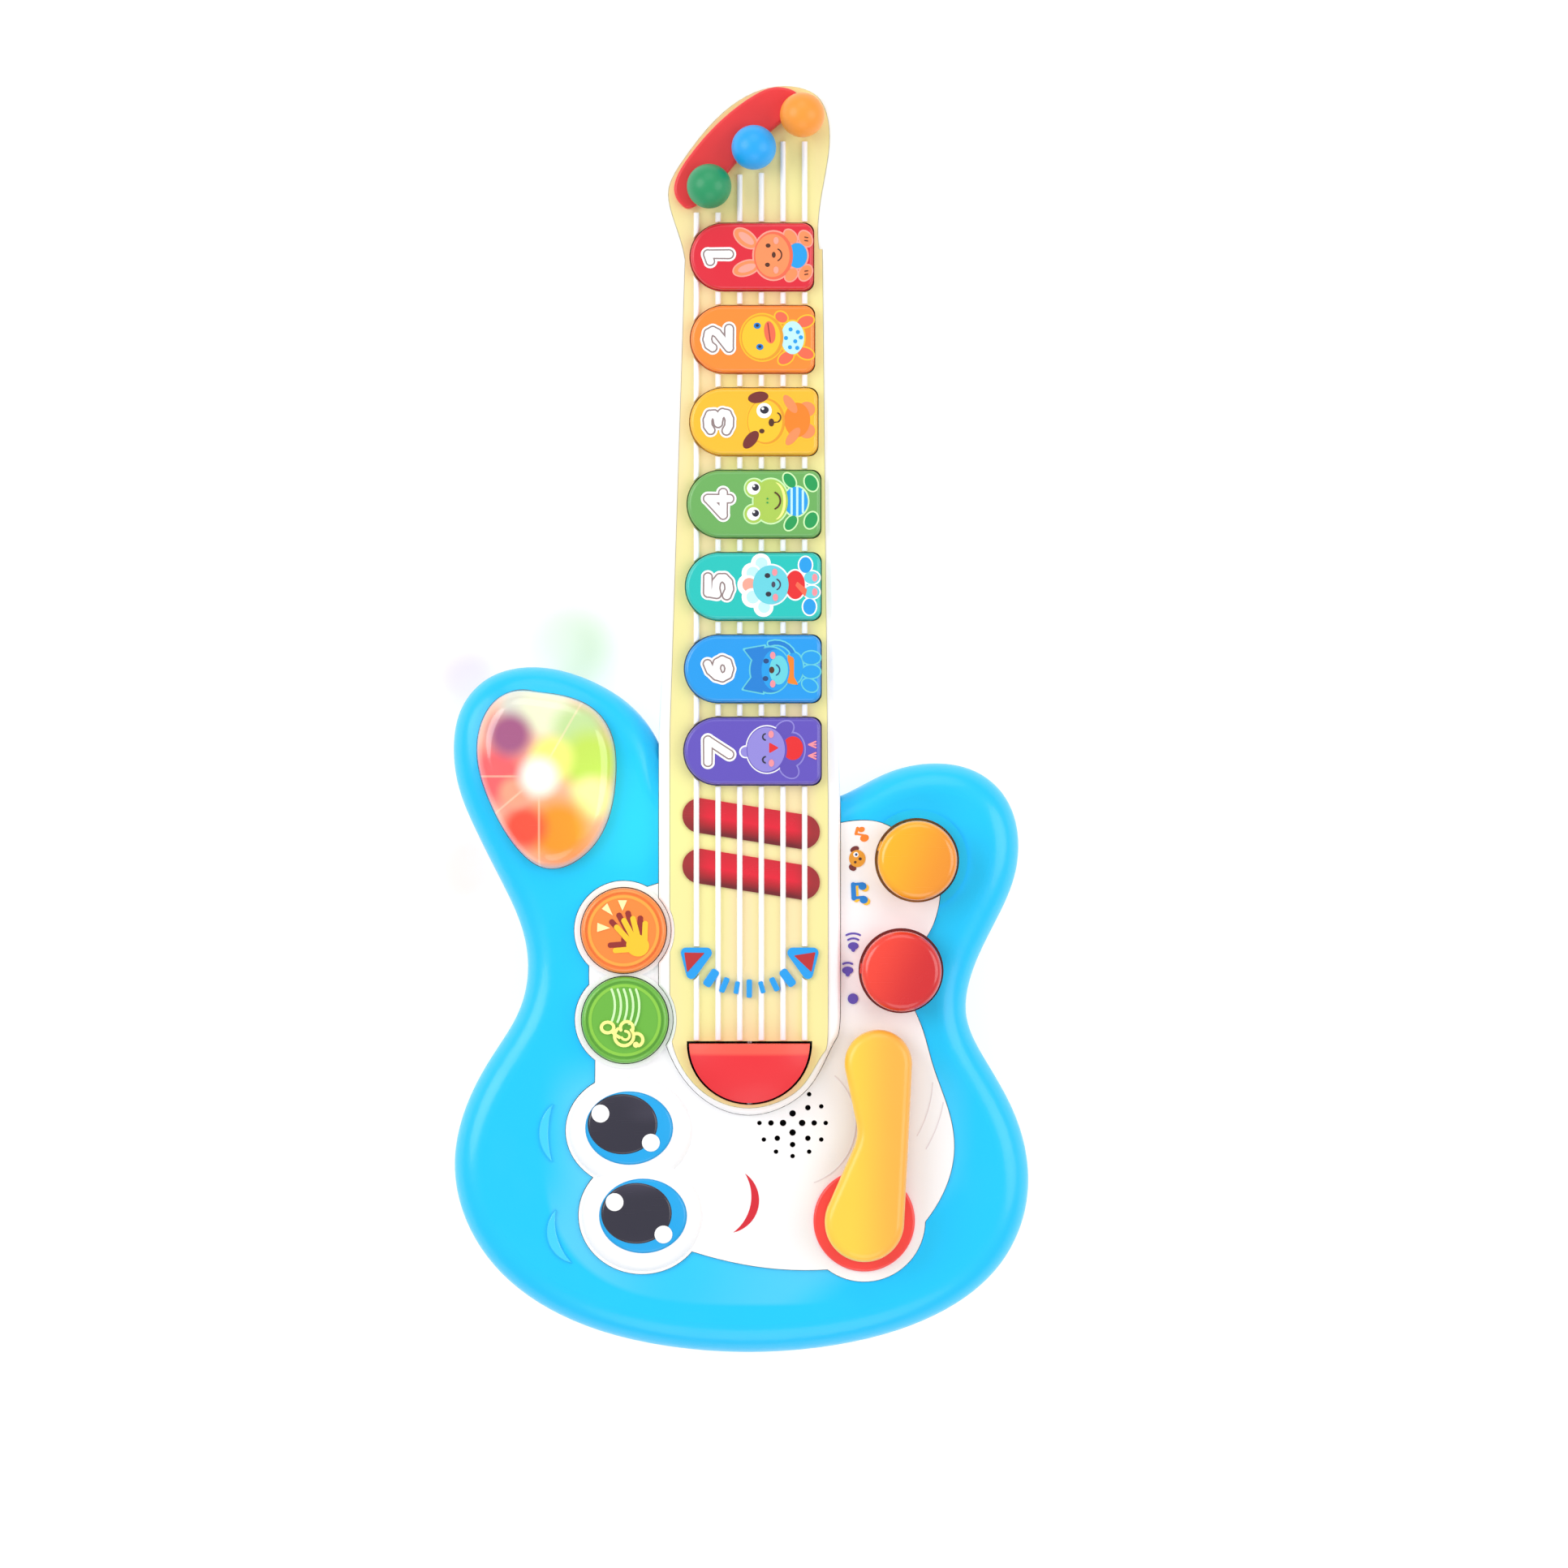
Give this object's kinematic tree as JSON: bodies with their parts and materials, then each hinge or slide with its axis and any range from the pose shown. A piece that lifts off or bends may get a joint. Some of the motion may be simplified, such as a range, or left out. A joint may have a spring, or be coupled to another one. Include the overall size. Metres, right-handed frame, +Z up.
{
  "type": "toy electric guitar",
  "caption": "Toy electric guitar with numbered neck keys, push buttons, turning knobs, a swinging lever, a rocking strum bar, peg balls and a light dome",
  "frame": {"origin": "middle of the footprint, on the surface that the guitar's flat back lies on", "axes": "+Y along the neck to the headstock, +Z up out of the face, +X to the right seen from the front with the headstock up"},
  "size_m": [0.175, 0.386, 0.0525],
  "materials": {
    "blue_shell": "glossy moulded ABS",
    "white_shell": "glossy moulded ABS",
    "cream_panel": "satin moulded ABS",
    "red_trim": "glossy moulded ABS",
    "blue_trim": "glossy moulded ABS",
    "orange_ball": "satin moulded ABS",
    "green_ball": "satin moulded ABS",
    "key_red": "glossy moulded ABS",
    "key_orange": "glossy moulded ABS",
    "key_yellow": "glossy moulded ABS",
    "key_green": "glossy moulded ABS",
    "key_teal": "glossy moulded ABS",
    "key_blue": "glossy moulded ABS",
    "key_violet": "glossy moulded ABS",
    "button_orange": "glossy moulded ABS",
    "button_green": "glossy moulded ABS",
    "knob_orange": "satin moulded ABS",
    "lever_yellow": "satin moulded ABS",
    "black_plastic": "matte moulding",
    "steel": "zinc-plated",
    "lens": "clear frosted moulding",
    "lamp": "clear epoxy",
    "circuit_board": "solder-masked laminate",
    "grey_rubber": "silicone rubber",
    "lead_red": "PVC insulation"
  },
  "bodies": {
    "root": {"body_shell_front": "blue_shell", "body_shell_back": "blue_shell", "battery_door": "blue_shell", "face_plate": "white_shell", "neck_shell_front": "white_shell", "neck_shell_back": "white_shell", "light_reflector": "white_shell", "strings": "white_shell", "battery_box": "white_shell", "fretboard": "cream_panel", "pickups": "red_trim", "headstock_crescent": "red_trim", "whammy_seat": "red_trim", "strum_badges": "blue_trim", "mode_switch": "black_plastic", "volume_switch": "black_plastic", "whammy_switch": "black_plastic", "board_chips": "black_plastic", "speaker_magnet": "black_plastic", "speaker_cone": "black_plastic", "speaker_frame": "black_plastic", "rocker_pin": "steel", "board_screws": "steel", "body_screws": "steel", "neck_screws": "steel", "battery_door_screw": "steel", "battery_contacts": "steel", "batteries": "steel", "light_lens": "lens", "leds": "lamp", "led_board": "circuit_board", "main_board": "circuit_board", "neck_board": "circuit_board", "button_domes": "grey_rubber", "key_membrane": "grey_rubber", "battery_leads": "lead_red", "speaker_leads": "lead_red", "neck_ribbon": "lead_red"},
    "key_1": {"key_1": "key_red"},
    "key_2": {"key_2": "key_orange"},
    "key_3": {"key_3": "key_yellow"},
    "key_4": {"key_4": "key_green"},
    "key_5": {"key_5": "key_teal"},
    "key_6": {"key_6": "key_blue"},
    "key_7": {"key_7": "key_violet"},
    "clap_button": {"clap_button": "button_orange"},
    "melody_button": {"melody_button": "button_green"},
    "mode_knob": {"mode_knob": "knob_orange"},
    "volume_knob": {"volume_knob": "red_trim"},
    "whammy_bar": {"whammy_bar": "lever_yellow", "whammy_clip": "steel"},
    "strum_rocker": {"strum_rocker": "red_trim"},
    "peg_orange": {"peg_orange": "orange_ball"},
    "peg_blue": {"peg_blue": "blue_trim"},
    "peg_green": {"peg_green": "green_ball"}
  },
  "joints": [
    {"name": "key_1_press", "type": "slide", "parent": "root", "child": "key_1", "axis": [0, 0, -1], "range_m": [0, 0.0018], "stiffness_N_per_m": 500, "springref_m": -0.0005},
    {"name": "key_2_press", "type": "slide", "parent": "root", "child": "key_2", "axis": [0, 0, -1], "range_m": [0, 0.0018], "stiffness_N_per_m": 500, "springref_m": -0.0005},
    {"name": "key_3_press", "type": "slide", "parent": "root", "child": "key_3", "axis": [0, 0, -1], "range_m": [0, 0.0018], "stiffness_N_per_m": 500, "springref_m": -0.0005},
    {"name": "key_4_press", "type": "slide", "parent": "root", "child": "key_4", "axis": [0, 0, -1], "range_m": [0, 0.0018], "stiffness_N_per_m": 500, "springref_m": -0.0005},
    {"name": "key_5_press", "type": "slide", "parent": "root", "child": "key_5", "axis": [0, 0, -1], "range_m": [0, 0.0018], "stiffness_N_per_m": 500, "springref_m": -0.0005},
    {"name": "key_6_press", "type": "slide", "parent": "root", "child": "key_6", "axis": [0, 0, -1], "range_m": [0, 0.0018], "stiffness_N_per_m": 500, "springref_m": -0.0005},
    {"name": "key_7_press", "type": "slide", "parent": "root", "child": "key_7", "axis": [0, 0, -1], "range_m": [0, 0.0018], "stiffness_N_per_m": 500, "springref_m": -0.0005},
    {"name": "clap_button_press", "type": "slide", "parent": "root", "child": "clap_button", "axis": [0, 0, -1], "range_m": [0, 0.002], "stiffness_N_per_m": 500, "springref_m": -0.0005},
    {"name": "melody_button_press", "type": "slide", "parent": "root", "child": "melody_button", "axis": [0, 0, -1], "range_m": [0, 0.002], "stiffness_N_per_m": 500, "springref_m": -0.0005},
    {"name": "mode_knob_turn", "type": "hinge", "parent": "root", "child": "mode_knob", "pos_m": [0.0534, -0.043, 0.035], "axis": [0, 0, 1], "range_deg": [0, 53]},
    {"name": "volume_knob_turn", "type": "hinge", "parent": "root", "child": "volume_knob", "pos_m": [0.0486, -0.0765, 0.035], "axis": [0, 0, 1], "range_deg": [-28, 32]},
    {"name": "whammy_bar_swing", "type": "hinge", "parent": "root", "child": "whammy_bar", "pos_m": [0.0374, -0.1523, 0.036], "axis": [0, 0, 1], "range_deg": [-10, 10], "stiffness_Nm_per_rad": 0.25},
    {"name": "strum_rocker_tilt", "type": "hinge", "parent": "root", "child": "strum_rocker", "pos_m": [0.00265, -0.1074, 0.0323], "axis": [0, 1, 0], "range_deg": [-5, 5], "stiffness_Nm_per_rad": 0.3},
    {"name": "peg_orange_turn", "type": "hinge", "parent": "root", "child": "peg_orange", "pos_m": [0.0186, 0.182, 0.045], "axis": [0, 0, 1], "continuous": true},
    {"name": "peg_blue_turn", "type": "hinge", "parent": "root", "child": "peg_blue", "pos_m": [0.004, 0.1722, 0.045], "axis": [0, 0, 1], "continuous": true},
    {"name": "peg_green_turn", "type": "hinge", "parent": "root", "child": "peg_green", "pos_m": [-0.0095, 0.1605, 0.045], "axis": [0, 0, 1], "continuous": true}
  ]
}
